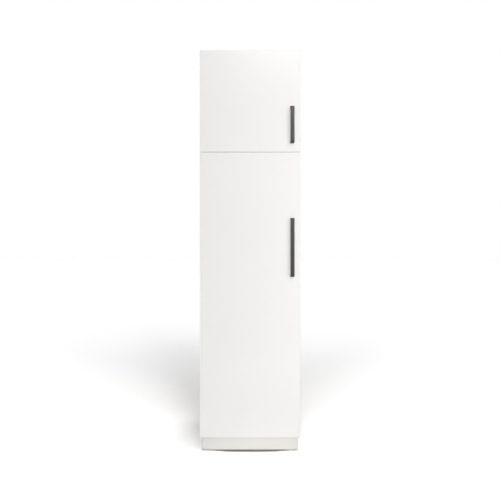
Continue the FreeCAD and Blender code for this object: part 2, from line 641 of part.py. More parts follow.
def arm_screw(spot):
    """Screw through the arm's top into the plate's rail."""
    reach = RAIL_HEIGHT - PLATE_THICKNESS
    return fuse([
        rod(ARM_SCREW_RADIUS, spot - X * reach, X, reach + ARM_STEEL),
        rod(ARM_SCREW_HEAD_RADIUS, spot + X * ARM_STEEL, X, ARM_SCREW_HEAD),
    ])


def hinge_plate(z):
    """Cross-shaped plate on the side panel: two screw wings and the rail for the arm."""
    corner = hinge_point(BOARD, PLATE_FROM_FRONT - PLATE_HALF_WIDTH, z - PLATE_HALF_LENGTH)
    wings = Part.makeBox(PLATE_THICKNESS, 2 * PLATE_HALF_WIDTH, 2 * PLATE_HALF_LENGTH, corner)
    wings = wings.makeFillet(PLATE_CORNER, edges_along(wings, X))
    rail = Part.makeBox(RAIL_HEIGHT, ARM_REAR - RAIL_FRONT, 2 * RAIL_HALF_HEIGHT,
                        hinge_point(BOARD, RAIL_FRONT, z - RAIL_HALF_HEIGHT))
    plate = fuse([wings, rail])
    holes = [
        rod(PLATE_SCREW_RADIUS + HOLE_CLEARANCE, hinge_point(BOARD, PLATE_FROM_FRONT, screw_z), X,
            PLATE_THICKNESS)
        for screw_z in plate_screw_places(z)
    ]
    for spot in arm_screw_spots(z):
        holes.append(rod(ARM_SCREW_RADIUS + HOLE_CLEARANCE, spot, -X,
                         RAIL_HEIGHT - PLATE_THICKNESS + DEPTH_CLEARANCE))
    return plate.cut(holes)


def plate_screw(z):
    """Screw from a plate wing into the side panel."""
    face = hinge_point(BOARD + PLATE_THICKNESS, PLATE_FROM_FRONT, z)
    return fuse([
        rod(PLATE_SCREW_HEAD_RADIUS, face, X, PLATE_SCREW_HEAD),
        rod(PLATE_SCREW_RADIUS, face, -X, PLATE_THICKNESS + PLATE_SCREW_LENGTH),
    ])


def cup_screw(spot):
    """Screw through the flange into the back of the door."""
    face = spot + Y * FLANGE_THICKNESS
    return fuse([
        rod(CUP_SCREW_HEAD_RADIUS, face, Y, CUP_SCREW_HEAD),
        rod(CUP_SCREW_RADIUS, face, -Y, FLANGE_THICKNESS + CUP_SCREW_LENGTH),
    ])


def door_set(name, span, hinges, handle_low, handle_length):
    """All the pieces that belong to one door, by node name."""
    return {
        f"{name}_door": [door(span, hinges, handle_low, handle_length)],
        f"{name}_handle": [handle(handle_low, handle_length)],
        f"{name}_handle_screws": [handle_screw(z) for z in handle_screw_heights(handle_low, handle_length)],
        f"{name}_door_buffers": door_buffers(span),
        f"{name}_hinge_cups": [hinge_cup(z) for z in hinges],
        f"{name}_cup_screws": [cup_screw(spot) for z in hinges for spot in cup_screw_spots(z)],
        f"{name}_cup_pins": hinge_pins(CUP_PIN, hinges),
        f"{name}_hinge_levers": [lever(z) for z in hinges],
        f"{name}_arm_pins": hinge_pins(LEVER_PIN, hinges),
        f"{name}_hinge_arms": [hinge_arm(z) for z in hinges],
        f"{name}_arm_screws": [arm_screw(spot) for z in hinges for spot in arm_screw_spots(z)],
        f"{name}_hinge_plates": [hinge_plate(z) for z in hinges],
        f"{name}_plate_screws": [plate_screw(s) for z in hinges for s in plate_screw_places(z)],
    }


def carcass_set():
    """The boards, the plinth and their fittings, by node name."""
    side_run = (PLINTH_FRONT + BOARD, PLINTH_REAR - BOARD)
    full = (-PLINTH_OUTER, PLINTH_OUTER)
    return {
        "side_panel_left": [side_panel(-1)],
        "side_panel_right": [side_panel(1)],
        "top_panel": [top_panel()],
        "bottom_panel": [inner_panel(PANEL_MIDDLES[0])],
        "fixed_shelf": [inner_panel(PANEL_MIDDLES[1])],
        "upper_back_board": [upper_back()],
        "lower_back_board": [back_board(BASE, SEAM_HEIGHT - BACK_JOINT / 2)],
        "plinth_front": [plinth_board(full, (PLINTH_FRONT, PLINTH_FRONT + BOARD))],
        "plinth_rear": [plinth_board(full, (PLINTH_REAR - BOARD, PLINTH_REAR))],
        "plinth_left": [plinth_board((-PLINTH_OUTER, BOARD - PLINTH_OUTER), side_run)],
        "plinth_right": [plinth_board((PLINTH_OUTER - BOARD, PLINTH_OUTER), side_run)],
        "plinth_corner_blocks": corner_blocks(),
        "plinth_glides": glides(),
        "cam_locks": cam_locks(),
        "cam_bolts": cam_bolts(),
        "wood_dowels": wood_dowels(),
        "adjustable_shelf": [adjustable_shelf()],
        "shelf_pins": [shelf_pin(sign, y) for sign in (-1, 1) for y in PIN_ROWS],
        "wall_brackets": [wall_bracket(sign) for sign in (-1, 1)],
        "wall_bracket_screws": [bracket_screw(sign) for sign in (-1, 1)],
    }


def main():
    nodes = carcass_set()
    nodes.update(door_set("upper", UPPER_DOOR_SPAN, UPPER_HINGES, UPPER_HANDLE_LOW, UPPER_HANDLE_LENGTH))
    nodes.update(door_set("lower", LOWER_DOOR_SPAN, LOWER_HINGES, LOWER_HANDLE_LOW, LOWER_HANDLE_LENGTH))
    os.makedirs("parts", exist_ok=True)
    for name, solids in nodes.items():
        shape = solids[0] if len(solids) == 1 else Part.makeCompound(solids)
        shape.exportStep(os.path.join("parts", f"{name}.step"))
        print(name, len(solids), "solids", round(shape.Volume / 1000, 2), "cm3")


main()
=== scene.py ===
# %% [markdown]
# A tall white broom cupboard, dressed for a studio picture.
# The boards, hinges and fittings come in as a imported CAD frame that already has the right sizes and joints.
# Blender adds what CAD leaves out: finishes, small turned and pressed details, lamps and a camera.

# %% Load the frame
import json
from math import cos, pi, radians, sin

import bmesh
import bpy
import numpy as np
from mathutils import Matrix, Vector


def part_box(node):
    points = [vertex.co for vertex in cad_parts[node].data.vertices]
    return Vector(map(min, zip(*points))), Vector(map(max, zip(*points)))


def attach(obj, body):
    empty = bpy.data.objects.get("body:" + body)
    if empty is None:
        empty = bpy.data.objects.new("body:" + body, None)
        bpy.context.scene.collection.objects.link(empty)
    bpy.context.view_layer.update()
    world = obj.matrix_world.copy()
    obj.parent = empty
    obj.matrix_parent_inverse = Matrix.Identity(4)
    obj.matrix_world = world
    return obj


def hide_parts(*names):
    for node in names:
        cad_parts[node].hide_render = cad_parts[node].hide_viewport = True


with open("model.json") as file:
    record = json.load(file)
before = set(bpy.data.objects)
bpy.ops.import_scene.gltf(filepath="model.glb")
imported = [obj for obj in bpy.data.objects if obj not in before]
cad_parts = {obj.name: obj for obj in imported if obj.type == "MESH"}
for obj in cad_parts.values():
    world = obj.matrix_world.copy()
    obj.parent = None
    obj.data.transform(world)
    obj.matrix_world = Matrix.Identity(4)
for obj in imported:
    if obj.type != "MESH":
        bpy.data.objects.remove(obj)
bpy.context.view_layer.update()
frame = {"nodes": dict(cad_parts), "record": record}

SCENE = bpy.context.scene
SCENE.view_settings.view_transform = "Standard"
MM = 0.001
LEAVES = ("upper", "lower")

# %% [markdown]
# The picture is taken square on, from the height of the cupboard's middle, with the camera level.
# Level matters: every upright then stays upright, and the doors keep their true proportions.
# The distance is a guess that suits a studio, and the lens follows from it and from the size in the picture.

# %% Camera
IMAGE_PIXELS = 500
SENSOR_WIDTH = 36.0         # in millimetres, as the lens is
CAMERA_TO_DOOR = 3.0
DOOR_METRES_PER_PIXEL = 0.004952
CAMERA_HEIGHT = 1.0096
CAMERA_X = -0.0005
LEVEL = radians(90)         # an unturned camera looks straight down
FAR_LIMIT = 200.0           # beyond the far edge of the floor
door_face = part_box("upper_door")[0][1]

camera_data = bpy.data.cameras.new("studio_camera")
camera_data.sensor_width = SENSOR_WIDTH
camera_data.lens = SENSOR_WIDTH * CAMERA_TO_DOOR / (IMAGE_PIXELS * DOOR_METRES_PER_PIXEL)
camera_data.clip_end = FAR_LIMIT
camera = bpy.data.objects.new("studio_camera", camera_data)
camera.location = (CAMERA_X, door_face - CAMERA_TO_DOOR, CAMERA_HEIGHT)
camera.rotation_euler = (LEVEL, 0, 0)
SCENE.collection.objects.link(camera)
SCENE.camera = camera
print("lens", round(camera_data.lens, 2), "mm at", [round(v, 3) for v in camera.location])

# %% [markdown]
# Every finish and the studio itself are small node trees.
# Nodes can be placed by hand in the shader editor, but a few helpers make them short to write and easy to
# change. Each helper adds one node, links or sets its inputs, and hands back the socket for the next step.


# %% Node helpers
def new_tree(material_name):
    """A new material and its emptied node tree."""
    material = bpy.data.materials.new(material_name)
    material.use_nodes = True
    material.node_tree.nodes.clear()
    return material, material.node_tree


def add(tree, kind, settings=None, **inputs):
    """Adds one node, sets its properties, then links or sets its inputs by name or number (i0, i1...)."""
    node = tree.nodes.new(kind)
    for key, value in (settings or {}).items():
        setattr(node, key, value)
    for key, value in inputs.items():
        socket = node.inputs[int(key[1:])] if key[0] == "i" and key[1:].isdigit() else node.inputs[key]
        if isinstance(value, bpy.types.NodeSocket):
            tree.links.new(value, socket)
        else:
            socket.default_value = value
    return node


def math(tree, operation, *values, kind="ShaderNodeMath"):
    """One maths step on numbers or sockets."""
    inputs = {f"i{k}": value for k, value in enumerate(values)}
    return add(tree, kind, {"operation": operation}, **inputs).outputs[0]


def vector_math(tree, operation, *values):
    """One maths step on vectors or their sockets."""
    return math(tree, operation, *values, kind="ShaderNodeVectorMath")


def any_seen_ray(tree):
    """1 for a camera, glossy or transmission ray, 0 for light that only bounces off matt surfaces."""
    path = add(tree, "ShaderNodeLightPath")
    seen = math(tree, "MAXIMUM", path.outputs["Is Camera Ray"], path.outputs["Is Glossy Ray"])
    return math(tree, "MAXIMUM", seen, path.outputs["Is Transmission Ray"])


def object_place(tree):
    """The point's place in the object's own metres."""
    return add(tree, "ShaderNodeTexCoord").outputs["Object"]


def split(tree, vector):
    """The three parts of a vector."""
    return add(tree, "ShaderNodeSeparateXYZ", Vector=vector).outputs


# %% [markdown]
# The world stands for the bright walls of a studio.
# It adds a low even light, and is plain white to the camera and in reflections.

# %% World
WORLD_LIGHT = 0.03
PURE_WHITE = (1, 1, 1, 1)
world = bpy.data.worlds.new("studio_world")
world.use_nodes = True
SCENE.world = world
tree = world.node_tree
tree.nodes.clear()
strength = math(tree, "MULTIPLY_ADD", any_seen_ray(tree), 1.0 - WORLD_LIGHT, WORLD_LIGHT)
sky = add(tree, "ShaderNodeBackground", Color=PURE_WHITE, Strength=strength)
add(tree, "ShaderNodeOutputWorld", Surface=sky.outputs[0])
print("world lights matt surfaces at", WORLD_LIGHT)

# %% [markdown]
# Three soft lamps stand a third of the way up the sky in front: they throw the two wings of shadow on the
# floor. Sun lamps with a wide angle do this, because they light the floor evenly and blur a shadow with
# distance. A level lamp by the camera fills the front, a tall panel on the right makes the doors brighter on
# that side, a low card lights the plinth and a strip over the top edge leaves a sheen there. The level lamp
# and the tall panel cast no shadow, so the shade beside the handles stays thin. Two rear lamps show the back
# and the sides.

# %% Lamps
SUNS = {
    "key_lamp": {"azimuth": 20.0, "elevation": 28.0, "strength": 0.38, "angle": 24.0, "shadow": True},
    "back_lamp": {"azimuth": 10.0, "elevation": 25.0, "strength": 0.35, "angle": 18.0, "shadow": True},
    "fill_lamp": {"azimuth": -12.5, "elevation": 30.0, "strength": 0.36, "angle": 24.0, "shadow": True},
    "front_lamp": {"azimuth": 4.0, "elevation": 4.0, "strength": 1.31, "angle": 80.0, "shadow": False},
    "rear_left_lamp": {"azimuth": -135.0, "elevation": 40.0, "strength": 0.75, "angle": 40.0, "shadow": True},
    "rear_right_lamp": {"azimuth": 135.0, "elevation": 40.0, "strength": 0.75, "angle": 40.0, "shadow": True},
}
PANELS = {
    "side_panel_lamp": {"place": (0.8, -1.35, 1.05), "aim": (0.0, door_face, 1.05), "size": (0.5, 2.4),
                        "watts": 9.5, "shadow": False},
    "low_card_lamp": {"place": (0.05, -1.7, 0.12), "aim": (0.0, door_face, 0.35), "size": (1.0, 0.2),
                      "watts": 1.5, "shadow": True},
    "top_strip_lamp": {"place": (0.16, -0.37, 2.10), "aim": (0.16, door_face, 1.95), "size": (0.5, 0.04),
                       "watts": 0.105, "shadow": True},
}


def place_lamp(name, data, towards_lamp, place=(0, 0, 0)):
    """Puts a lamp in the scene so that it shines against the given direction."""
    holder = bpy.data.objects.new(name, data)
    holder.rotation_euler = towards_lamp.to_track_quat("Z", "Y").to_euler()
    holder.location = place
    SCENE.collection.objects.link(holder)
    print(name, "shines from", [round(v, 2) for v in towards_lamp])


for lamp_name, lamp in SUNS.items():
    data = bpy.data.lights.new(lamp_name, "SUN")
    data.energy = lamp["strength"]
    data.angle = radians(lamp["angle"])
    data.use_shadow = lamp["shadow"]
    azimuth, elevation = radians(lamp["azimuth"]), radians(lamp["elevation"])
    place_lamp(lamp_name, data,
               Vector((sin(azimuth) * cos(elevation), -cos(azimuth) * cos(elevation), sin(elevation))))

for lamp_name, lamp in PANELS.items():
    data = bpy.data.lights.new(lamp_name, "AREA")
    data.shape = "RECTANGLE"
    data.size, data.size_y = lamp["size"]
    data.energy = lamp["watts"]
    data.use_shadow = lamp["shadow"]
    place_lamp(lamp_name, data, Vector(lamp["place"]) - Vector(lamp["aim"]), lamp["place"])

# %% [markdown]
# The floor is a plain pale sheet that runs out to a white horizon.
# A matt surface keeps the soft shadows. To the camera its paint is brighter and glows a little, which lifts
# the lit part to white. Three masks near the cupboard paint shade on it: the paint is left unlifted in the
# thin gap under the plinth, a painted dark gap, is dimmed a little round the foot, and the glow fades there,
# which paints a soft shade beside the foot. The lamps that shape the doors leave the floor alone, or they
# would wash its shadows out.

# %% Floor
FLOOR_REACH = 60.0
FLOOR_BOUNCE = 0.80
FLOOR_SEEN = 4.00
FLOOR_LIFT = 0.25
# The masks below paint shade on the floor: a dark gap under the plinth, a dimmed foot, a fading glow.
GAP_SHADE_PAINT = {"middle": (0.0, 0.027, 0.0), "reach": (0.228, 0.196, 1.0), "start": 0.96, "end": 1.12}
FOOT_SHADE_PAINT = {"middle": (-0.02, 0.0, 0.0), "reach": (0.360, 0.160, 1.0), "start": 0.70, "end": 1.50}
FOOT_SHADE = 0.22
BESIDE_SHADE_PAINT = {"middle": (-0.05, 0.090, 0.0), "reach": (0.390, 0.260, 1.0), "start": 0.70, "end": 1.50}
SQUARENESS = 3.0
OFF_FLOOR_LAMPS = ("front_lamp", "side_panel_lamp", "low_card_lamp", "rear_left_lamp", "rear_right_lamp")

corners = np.array([(-1, -1, 0), (1, -1, 0), (1, 1, 0), (-1, 1, 0)], float) * FLOOR_REACH
floor_mesh = bpy.data.meshes.new("floor")
floor_mesh.from_pydata(corners.tolist(), [], [(0, 1, 2, 3)])
floor = bpy.data.objects.new("floor", floor_mesh)
SCENE.collection.objects.link(floor)


# Each mask marks a patch of painted shade on the floor near the cupboard.
def clear_of(tree, middle, reach, start, end):
    """
    0 near the middle, 1 far from it. With x and y counted in reaches, the distance is the third root of
    |x|^3 + |y|^3, whose lines of equal distance are rounded oblongs like the cupboard's foot.
    """
    away = vector_math(tree, "SUBTRACT", object_place(tree), middle)
    x, y, _ = split(tree, vector_math(tree, "ABSOLUTE", vector_math(tree, "DIVIDE", away, reach)))
    total = math(tree, "ADD", math(tree, "POWER", x, SQUARENESS), math(tree, "POWER", y, SQUARENESS))
    limits = {"Value": math(tree, "POWER", total, 1 / SQUARENESS), "From Min": start, "From Max": end}
    return add(tree, "ShaderNodeMapRange", {"interpolation_type": "SMOOTHSTEP"}, **limits).outputs["Result"]


floor_paint, tree = new_tree("floor_paint")
seen = any_seen_ray(tree)
# Painted shade: the seen paint drops in the gap and dims round the foot, and the glow fades beside it.
painted_foot_shade = math(tree, "MULTIPLY_ADD", clear_of(tree, **FOOT_SHADE_PAINT), FOOT_SHADE, 1.0 - FOOT_SHADE)
boost_less_painted_shade = math(tree, "MULTIPLY", math(tree, "MULTIPLY", seen, clear_of(tree, **GAP_SHADE_PAINT)), painted_foot_shade)
matt = add(tree, "ShaderNodeBsdfDiffuse",
           Color=math(tree, "MULTIPLY_ADD", boost_less_painted_shade, FLOOR_SEEN - FLOOR_BOUNCE, FLOOR_BOUNCE))
lift_less_painted_shade = math(tree, "MULTIPLY", math(tree, "MULTIPLY", seen, clear_of(tree, **BESIDE_SHADE_PAINT)), FLOOR_LIFT)
glow = add(tree, "ShaderNodeEmission", Color=PURE_WHITE, Strength=lift_less_painted_shade)
both = add(tree, "ShaderNodeAddShader", i0=matt.outputs[0], i1=glow.outputs[0])
add(tree, "ShaderNodeOutputMaterial", Surface=both.outputs[0])
floor_mesh.materials.append(floor_paint)
off_floor = bpy.data.collections.new("all_but_the_floor")
off_floor.objects.link(floor)
off_floor.collection_objects[0].light_linking.link_state = "EXCLUDE"
for lamp_name in OFF_FLOOR_LAMPS:
    bpy.data.objects[lamp_name].light_linking.receiver_collection = off_floor
print("floor reaches", FLOOR_REACH, "m each way")

# %% [markdown]
# No real surface has one flat colour: paper faces cloud a little, wood has flakes, plating has a fine streak.
# Photographs could be wrapped round the pieces, but small sums on the point's own place do it without any.
# The helpers below turn such sums into values between two limits, colours between two colours, and relief.


# %% Pattern helpers
def noise(tree, place, lumps, detail=2.0, stretch=(1.0, 1.0, 1.0)):
    """Cloudy value around 0.5, with so many lumps in a metre, closer or wider along each axis by stretch."""
    place = vector_math(tree, "MULTIPLY", place, stretch)
    return add(tree, "ShaderNodeTexNoise", Vector=place, Scale=lumps, Detail=detail).outputs[0]


def spread(tree, value, low=0.0, high=1.0, start=0.3, end=0.7):
    """Carries a value from start..end to low..high in a straight line, held at both ends."""
    limits = {"From Min": start, "From Max": end, "To Min": low, "To Max": high}
    return add(tree, "ShaderNodeMapRange", Value=value, **limits).outputs["Result"]


def blend(tree, share, first, second):
    """Colour that goes from the first to the second as the share goes from 0 to 1."""
    return add(tree, "ShaderNodeMix", {"data_type": "RGBA"}, i0=share, i6=first, i7=second).outputs[2]


def between(tree, share, first, second):
    """Number that goes from the first to the second as the share goes from 0 to 1."""
    return add(tree, "ShaderNodeMix", {"data_type": "FLOAT"}, i0=share, i2=first, i3=second).outputs[0]


def relief(tree, height, depth, under=None):
    """Bump from a height of 0 to 1 over a depth in metres, on top of another relief if there is one."""
    links = {"Normal": under} if under else {}
    return add(tree, "ShaderNodeBump", Height=height, Distance=depth, **links).outputs["Normal"]


def surface(tree, **inputs):
    """The shader that takes the finish's values, and the output. Words are joined by underscores."""
    named = {key.replace("_", " "): value for key, value in inputs.items()}
    shader = add(tree, "ShaderNodeBsdfPrincipled", **named)
    add(tree, "ShaderNodeOutputMaterial", Surface=shader.outputs[0])


def tinted(colour, factor):
    """A colour made lighter or darker, ready for a socket."""
    return tuple(part * factor for part in colour) + (1.0,)


# %% [markdown]
# The carcass and the doors are chipboard faced with white melamine: printed paper soaked in resin and
# pressed on. Its face is satin, with a fine pebbled texture from the press plate, and thin bands cover the
# front edges. Saw cuts, bores and the unseen rear edges show the flakes. A box modeller would paint these
# faces by hand. Here a point knows its board's box: on a face it is at depth 0, and any deeper point must be
# inside a cut.

# %% Melamine board
WHITE = (0.860, 0.852, 0.836)
DOOR_WHITE = (0.862, 0.854, 0.838)
# Darker and warmer than the other boards' white: painted shade for the plinth's recess under the doors.
PLINTH_SHADED_WHITE = (0.724, 0.709, 0.683)
FACE_CLOUDS = 2.5           # lumps in a metre, here and below
FACE_TONES = (0.985, 1.008)
SATIN_CLOUDS = 30.0
SATIN_ROUGHNESS = (0.29, 0.37)
PEBBLES = 620.0
PEBBLE_HEIGHT = 0.02        # as a share of a flake's
SKIN = 0.4 * MM             # deeper than this inside the board's box is a cut
RAW_END = SKIN / 4          # nearer than this to a raw end is the end itself
BAND = 1.0 * MM             # thickness of the edge band
BAND_LINE = 0.12 * MM
BAND_LINE_TONE = 0.62
BAND_LINE_SHARE = 0.5
FLAKE_DARK = (0.27, 0.17, 0.09, 1)
FLAKE_PALE = (0.60, 0.44, 0.26, 1)
FLAKES = 380.0
FLAKE_DEPTH = 0.25 * MM
FLAKE_ROUGHNESS = 0.85
DUST = 900.0
DUST_SHARE = 0.45


def flakes(tree, place):
    """Pressed wood flakes: cells of some millimetres with a tone each, and finer dust over them."""
    cells = add(tree, "ShaderNodeTexVoronoi", Vector=place, Scale=FLAKES)
    tone = add(tree, "ShaderNodeSeparateColor", Color=cells.outputs["Color"]).outputs[0]
    return between(tree, DUST_SHARE, tone, noise(tree, place, DUST, detail=4.0))


def board_finish(node, colour, raw_rear=False, raw_foot=False):
    """
    Melamine on every face and flakes in every cut. Of the three distances from the point to the faces of the
    board's box, the smallest is the depth of the point, and the next is its distance from the board's edge.
    """
    lowest, highest = (np.array(corner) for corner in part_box(node))
    material, tree = new_tree(f"{node}_finish")
    place = object_place(tree)
    away = vector_math(tree, "SUBTRACT", place, (lowest + highest) / 2)
    room = vector_math(tree, "SUBTRACT", (highest - lowest) / 2, vector_math(tree, "ABSOLUTE", away))
    x, y, z = split(tree, room)
    least, most = math(tree, "MINIMUM", x, y), math(tree, "MAXIMUM", x, y)
    depth = math(tree, "MINIMUM", least, z)
    from_edge = math(tree, "MAXIMUM", least, math(tree, "MINIMUM", most, z))

    raw = math(tree, "GREATER_THAN", depth, SKIN)
    _, along_y, along_z = split(tree, place)
    if raw_rear:
        raw = math(tree, "MAXIMUM", raw, math(tree, "GREATER_THAN", along_y, highest[1] - RAW_END))
    if raw_foot:
        raw = math(tree, "MAXIMUM", raw, math(tree, "LESS_THAN", along_z, lowest[2] + RAW_END))

    wood = flakes(tree, place)
    cloud = spread(tree, noise(tree, place, FACE_CLOUDS, detail=4.0))
    face = blend(tree, cloud, *(tinted(colour, tone) for tone in FACE_TONES))
    line = math(tree, "COMPARE", from_edge, BAND, BAND_LINE)
    face = blend(tree, math(tree, "MULTIPLY", line, BAND_LINE_SHARE), face, tinted(colour, BAND_LINE_TONE))
    satin = spread(tree, noise(tree, place, SATIN_CLOUDS, detail=4.0), *SATIN_ROUGHNESS)
    pebble = math(tree, "MULTIPLY", noise(tree, place, PEBBLES, detail=1.0), PEBBLE_HEIGHT)
    surface(tree, Base_Color=blend(tree, raw, face, blend(tree, wood, FLAKE_DARK, FLAKE_PALE)),
            Roughness=between(tree, raw, satin, FLAKE_ROUGHNESS),
            Normal=relief(tree, between(tree, raw, pebble, wood), FLAKE_DEPTH))
    return material


FINISHES = {}
for node in ("top_panel", "bottom_panel", "fixed_shelf", "adjustable_shelf"):
    FINISHES[node] = board_finish(node, WHITE, raw_rear=True)
for side in ("left", "right"):
    FINISHES[f"side_panel_{side}"] = board_finish(f"side_panel_{side}", WHITE, raw_rear=True, raw_foot=True)
# The plinth boards take the darker white, as painted shade.
for side in ("front", "rear", "left", "right"):
    FINISHES[f"plinth_{side}"] = board_finish(f"plinth_{side}", PLINTH_SHADED_WHITE, raw_foot=True)
for leaf in LEAVES:
    FINISHES[f"{leaf}_door"] = board_finish(f"{leaf}_door", DOOR_WHITE)
print(len(FINISHES), "boards have their own finish")

# %% [markdown]
# The back is thin hardboard: painted white on the room side, bare brown fibre with a pressed screen mark
# behind. Two materials on two faces would do, but one tree that asks which side of the sheet's middle it is
# on is enough.

# %% Hardboard back
SCREEN_PITCH = 1.6 * MM     # mesh of the screen that the wet board was pressed on
SCREEN_SHARE = 0.35
FIBRES = 90.0
FIBRE_STRETCH = (1.0, 1.0, 0.35)
FIBRE_DARK = (0.155, 0.085, 0.042, 1)
FIBRE_PALE = (0.285, 0.170, 0.090, 1)
FIBRE_ROUGHNESS = 0.78
BACK_PAINT = (0.800, 0.795, 0.780)
PAINT_CLOUDS = 40.0
PAINT_TONES = (0.97, 1.01)
PAINT_ROUGHNESS = 0.42
BACK_DEPTH = 0.05 * MM
WAVE_RANGE = {"start": -1.0, "end": 1.0}


def hardboard_finish(node):
    """Paint ahead of the sheet's middle plane, and fibre with a screen mark sin(x) sin(z) behind it."""
    lowest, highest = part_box(node)
    material, tree = new_tree(f"{node}_finish")
    place = object_place(tree)
    x, y, z = split(tree, place)
    behind = math(tree, "GREATER_THAN", y, (lowest[1] + highest[1]) / 2)
    wave = 2 * pi / SCREEN_PITCH
    waves = (math(tree, "SINE", math(tree, "MULTIPLY", way, wave)) for way in (x, z))
    screen = math(tree, "MULTIPLY", *waves)
    fibre = noise(tree, place, FIBRES, detail=6.0, stretch=FIBRE_STRETCH)
    brown = blend(tree, spread(tree, fibre), FIBRE_DARK, FIBRE_PALE)
    brown = blend(tree, spread(tree, screen, high=SCREEN_SHARE, **WAVE_RANGE), brown, FIBRE_DARK)
    cloud = spread(tree, noise(tree, place, PAINT_CLOUDS, detail=5.0))
    paint = blend(tree, cloud, *(tinted(BACK_PAINT, tone) for tone in PAINT_TONES))
    height = between(tree, behind, fibre, spread(tree, screen, **WAVE_RANGE))
    surface(tree, Base_Color=blend(tree, behind, paint, brown),
            Roughness=between(tree, behind, PAINT_ROUGHNESS, FIBRE_ROUGHNESS),
            Normal=relief(tree, height, BACK_DEPTH))
    return material


for leaf in LEAVES:
    FINISHES[f"{leaf}_back_board"] = hardboard_finish(f"{leaf}_back_board")
print("back boards are painted ahead and brown behind")

# %% [markdown]
# Plain wood is left for the hidden helpers: pine blocks in the plinth corners and beech dowels in the joints.
# Grain is noise drawn out along the tree's trunk, so the only choice is which way the trunk ran.

# %% Plain wood
PINE = ((0.62, 0.43, 0.24, 1), (0.78, 0.61, 0.40, 1))
BEECH = ((0.60, 0.40, 0.25, 1), (0.74, 0.55, 0.37, 1))
UPRIGHT_GRAIN = (1.0, 1.0, 0.08)
LEVEL_GRAIN = (0.08, 1.0, 1.0)
RINGS = 60.0
PORES = 900.0
PORE_SHARE = 0.35
PORE_DEPTH = 0.04 * MM
WOOD_ROUGHNESS = (0.55, 0.72)


def wood_finish(name, colours, stretch):
    """Year rings from coarse noise, and pores from fine noise, both drawn out along the grain."""
    material, tree = new_tree(name)
    place = object_place(tree)
    rings = noise(tree, place, RINGS, detail=3.0, stretch=stretch)
    pores = noise(tree, place, PORES, detail=2.0, stretch=stretch)
    grain = between(tree, PORE_SHARE, rings, pores)
    surface(tree, Base_Color=blend(tree, spread(tree, grain), *colours),
            Roughness=spread(tree, pores, *WOOD_ROUGHNESS), Normal=relief(tree, pores, PORE_DEPTH))
    return material


FINISHES["plinth_corner_blocks"] = wood_finish("pine_block", PINE, UPRIGHT_GRAIN)
FINISHES["wood_dowels"] = wood_finish("beech_dowel", BEECH, LEVEL_GRAIN)
print(len(FINISHES), "nodes have a finish of their own")

# %% [markdown]
# Hinges are pressed from steel strip and nickel plated; screws, pins and brackets are zinc plated.
# Plating follows the rolled strip, so its gloss runs in fine streaks, and pressed edges are never sharp.
# A bevel modifier needs welded meshes, so the Bevel node rounds the corners in the shading only.

# %% Plated metal
PRESS_ROUND = 0.35 * MM
ROUND_SAMPLES = 4
PLATE_CLOUDS = 120.0
STREAKS = 1400.0
STREAK_DEPTH = 0.006 * MM
PLATINGS = {
    "nickel_plate": {"colour": (0.72, 0.71, 0.68, 1), "tint": (0.66, 0.64, 0.60, 1),
                     "roughness": (0.20, 0.32), "streak": (1, 1, 0.15)},
    "zinc_plate": {"colour": (0.69, 0.69, 0.68, 1), "tint": (0.62, 0.64, 0.66, 1),
                   "roughness": (0.26, 0.42), "streak": (1, 1, 1)},
    "die_cast_zinc": {"colour": (0.56, 0.56, 0.55, 1), "tint": (0.46, 0.46, 0.45, 1),
                      "roughness": (0.40, 0.58), "streak": (1, 1, 1)},
}


def plated_finish(name, colour, tint, roughness, streak):
    """Metal whose colour drifts towards a tint in clouds, with streaks in its gloss and softened corners."""
    material, tree = new_tree(name)
    place = object_place(tree)
    cloud = spread(tree, noise(tree, place, PLATE_CLOUDS, detail=3.0))
    streaks = noise(tree, place, STREAKS, detail=3.0, stretch=streak)
    corner = add(tree, "ShaderNodeBevel", {"samples": ROUND_SAMPLES}, Radius=PRESS_ROUND).outputs["Normal"]
    surface(tree, Metallic=1.0, Base_Color=blend(tree, cloud, colour, tint),
            Roughness=spread(tree, streaks, *roughness),
            Normal=relief(tree, streaks, STREAK_DEPTH, under=corner))
    return material


NICKEL, ZINC_PLATE, DIE_CAST = (plated_finish(name, **look) for name, look in PLATINGS.items())
print(len(PLATINGS), "platings made")

# %% [markdown]
# The two handles are the only dark pieces in view: steel bar with a satin, near-black powder coat.
# Powder melts to a slightly pebbled skin and thins on the corners, where hands polish it.
# The bar's mesh carries an attribute that is 1 on its rounded corners, and the tree reads it for that wear.

# %% Powder coat
COAT = (0.017, 0.017, 0.018)
COAT_CLOUDS = 55.0
COAT_TONES = (0.88, 1.12)
COAT_PEBBLES = 1500.0
COAT_ROUGHNESS = (0.28, 0.40)
COAT_SHEEN = 0.44           # strength of the clear reflection, where plain plastic has 0.5
COAT_DEPTH = 0.02 * MM
WEAR = (0.25, 0.55)
WORN_TONE = 1.6
WORN_ROUGHNESS = 0.27


def powder_coat():
    """Dark coat, a little paler and glossier by its corner value, over fine pebbles."""
    material, tree = new_tree("powder_coat")
    place = object_place(tree)
    corner = add(tree, "ShaderNodeAttribute", {"attribute_name": "corner"}).outputs["Fac"]
    pebble = noise(tree, place, COAT_PEBBLES, detail=2.0)
    cloud = noise(tree, place, COAT_CLOUDS, detail=4.0)
    coat = blend(tree, spread(tree, cloud), *(tinted(COAT, tone) for tone in COAT_TONES))
    worn = math(tree, "MULTIPLY", corner, spread(tree, cloud, *WEAR))
    surface(tree, Base_Color=blend(tree, worn, coat, tinted(COAT, WORN_TONE)), Specular_IOR_Level=COAT_SHEEN,
            Roughness=between(tree, worn, spread(tree, pebble, *COAT_ROUGHNESS), WORN_ROUGHNESS),
            Normal=relief(tree, pebble, COAT_DEPTH))
    return material


POWDER_COAT = powder_coat()
print("coat made, worn at the corners by", WEAR)

# %% [markdown]
# Two small plastics are left: soft clear dots that quiet the doors, and hard black glides under the plinth.
# Both are moulded, so their gloss is uneven and their skin faintly rippled.

